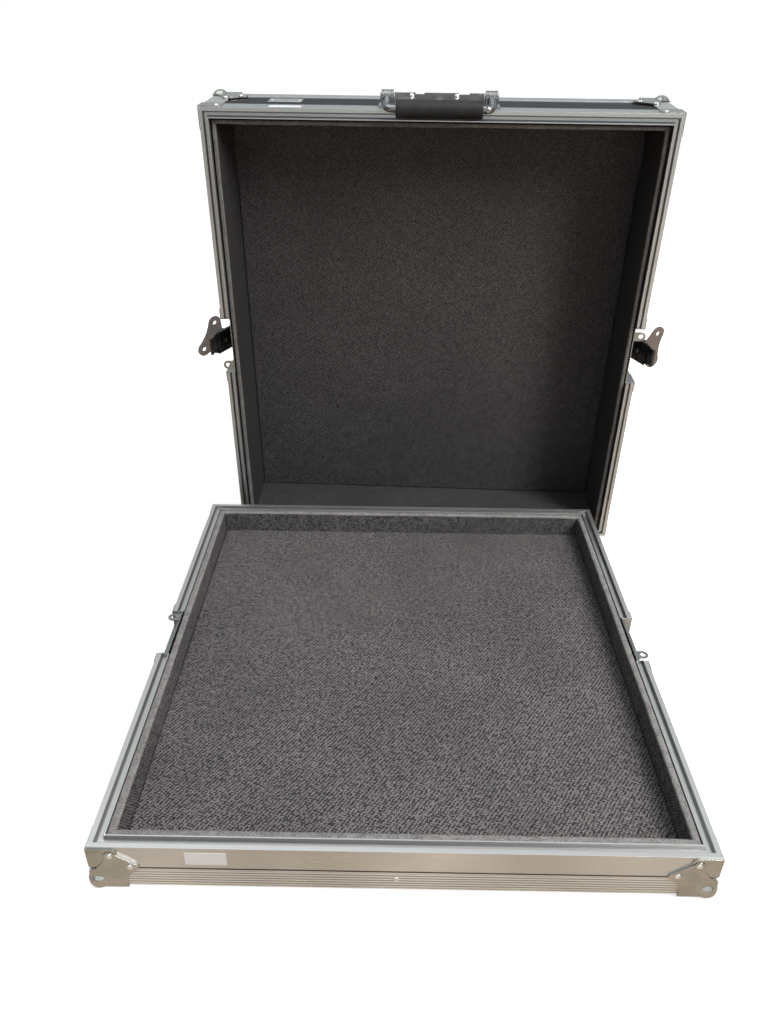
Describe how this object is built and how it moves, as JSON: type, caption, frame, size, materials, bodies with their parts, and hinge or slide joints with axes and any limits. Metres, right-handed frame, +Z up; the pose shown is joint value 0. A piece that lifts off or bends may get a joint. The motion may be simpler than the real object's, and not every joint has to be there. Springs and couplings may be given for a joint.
{
  "type": "flight case with lift-off lid",
  "caption": "Shallow foam-lined equipment case with aluminium edges, ball corners, recessed butterfly latches and a deep lift-off lid standing behind it.",
  "frame": {"origin": "centre of the base's outer board, on its underside", "axes": "+Z up, +Y from the front of the base to the lid behind it, +X to the right seen from the front"},
  "size_m": [0.6858, 0.799, 0.6533],
  "materials": {
    "aluminium": "satin anodised extrusion with fine lengthwise grain",
    "black_laminate": "plywood board faced with satin black laminate",
    "corner_plating": "bright zinc plated pressed steel",
    "foam": "dark warm grey closed-cell foam, faint woven skin, cut edges a little lighter",
    "grip_black": "satin black moulded grip",
    "handle_chrome": "bright chrome plated steel",
    "handle_plating": "zinc plated folded plate",
    "latch_black": "black coated turning disc, carrier and hook",
    "latch_plating": "zinc plated pressed steel",
    "rivet_steel": "bright plated rivet heads",
    "wing_steel": "satin plated pressed wing"
  },
  "bodies": {
    "base_tray": {"base_ball_corners": "corner_plating", "base_corner_braces": "corner_plating", "base_edge_front": "aluminium", "base_edge_left": "aluminium", "base_edge_rear": "aluminium", "base_edge_right": "aluminium", "base_floor_board": "black_laminate", "base_floor_foam": "foam", "base_foam_front": "foam", "base_foam_left": "foam", "base_foam_rear": "foam", "base_foam_right": "foam", "base_latch_dishes": "latch_plating", "base_latch_keepers": "latch_plating", "base_rim_front": "aluminium", "base_rim_left": "aluminium", "base_rim_rear": "aluminium", "base_rim_right": "aluminium", "base_rivets": "rivet_steel", "base_wall_front": "black_laminate", "base_wall_left": "black_laminate", "base_wall_rear": "black_laminate", "base_wall_right": "black_laminate"},
    "lid_shell": {"lid_ball_corners": "corner_plating", "lid_ceiling_foam": "foam", "lid_corner_braces": "corner_plating", "lid_corner_posts": "aluminium", "lid_edge_front": "aluminium", "lid_edge_left": "aluminium", "lid_edge_rear": "aluminium", "lid_edge_right": "aluminium", "lid_foam_front": "foam", "lid_foam_left": "foam", "lid_foam_rear": "foam", "lid_foam_right": "foam", "lid_latch_dishes": "latch_plating", "lid_latch_pivot_pins": "latch_plating", "lid_rim_front": "aluminium", "lid_rim_left": "aluminium", "lid_rim_rear": "aluminium", "lid_rim_right": "aluminium", "lid_rivets": "rivet_steel", "lid_top_board": "black_laminate", "lid_wall_front": "black_laminate", "lid_wall_left": "black_laminate", "lid_wall_rear": "black_laminate", "lid_wall_right": "black_laminate", "handle_plate": "handle_plating", "handle_brackets": "handle_chrome", "handle_pins": "handle_chrome"},
    "carry_handle": {"handle_bail": "handle_chrome", "handle_grip": "grip_black"},
    "left_carrier": {"left_latch_carrier": "latch_black"},
    "left_hub": {"left_latch_hub": "latch_black"},
    "left_wing": {"left_latch_wing": "wing_steel"},
    "left_hook": {"left_latch_hook": "latch_black"},
    "right_carrier": {"right_latch_carrier": "latch_black"},
    "right_hub": {"right_latch_hub": "latch_black"},
    "right_wing": {"right_latch_wing": "wing_steel"},
    "right_hook": {"right_latch_hook": "latch_black"}
  },
  "joints": [
    {"name": "lid_lift", "type": "slide", "parent": "base_tray", "child": "lid_shell", "axis": [0, 0, 1], "range_m": [0, 0.6]},
    {"name": "handle_swing", "type": "hinge", "parent": "lid_shell", "child": "carry_handle", "pos_m": [0.03699, 0.33997, 0.63747], "axis": [-0.9993, 0.037, 0], "range_deg": [0, 190]},
    {"name": "left_latch_lift", "type": "hinge", "parent": "lid_shell", "child": "left_carrier", "pos_m": [-0.2549, 0.3889, 0.31158], "axis": [-0.002, -0.0553, 0.9985], "range_deg": [0, 26]},
    {"name": "left_latch_turn", "type": "hinge", "parent": "left_carrier", "child": "left_hub", "pos_m": [-0.27383, 0.36731, 0.31035], "axis": [-0.882, 0.4706, 0.0243], "range_deg": [-43, 137]},
    {"name": "left_wing_flip", "type": "hinge", "parent": "left_hub", "child": "left_wing", "pos_m": [-0.2733, 0.36702, 0.31033], "axis": [-0.3199, -0.5601, -0.7642], "range_deg": [-90, 0]},
    {"name": "left_hook_slide", "type": "slide", "parent": "left_carrier", "child": "left_hook", "axis": [-0.4713, -0.8806, -0.0498], "range_m": [-0.00305, 0.00096]},
    {"name": "right_latch_lift", "type": "hinge", "parent": "lid_shell", "child": "right_carrier", "pos_m": [0.3317, 0.36719, 0.31158], "axis": [0.002, 0.0553, -0.9985], "range_deg": [0, 26]},
    {"name": "right_latch_turn", "type": "hinge", "parent": "right_carrier", "child": "right_hub", "pos_m": [0.34898, 0.34425, 0.31035], "axis": [0.9144, 0.4042, 0.0243], "range_deg": [-2, 178]},
    {"name": "right_wing_flip", "type": "hinge", "parent": "right_hub", "child": "right_wing", "pos_m": [0.34843, 0.34401, 0.31033], "axis": [0.0121, -0.0872, 0.9961], "range_deg": [-90, 0]},
    {"name": "right_hook_slide", "type": "slide", "parent": "right_carrier", "child": "right_hook", "axis": [0.4049, -0.913, -0.0498], "range_m": [-0.00396, 0.00005]}
  ],
  "couplings": [
    {"joint": "left_hook_slide", "follows": "left_latch_turn", "m_per_rad": -0.0012732},
    {"joint": "right_hook_slide", "follows": "right_latch_turn", "m_per_rad": -0.0012732}
  ]
}
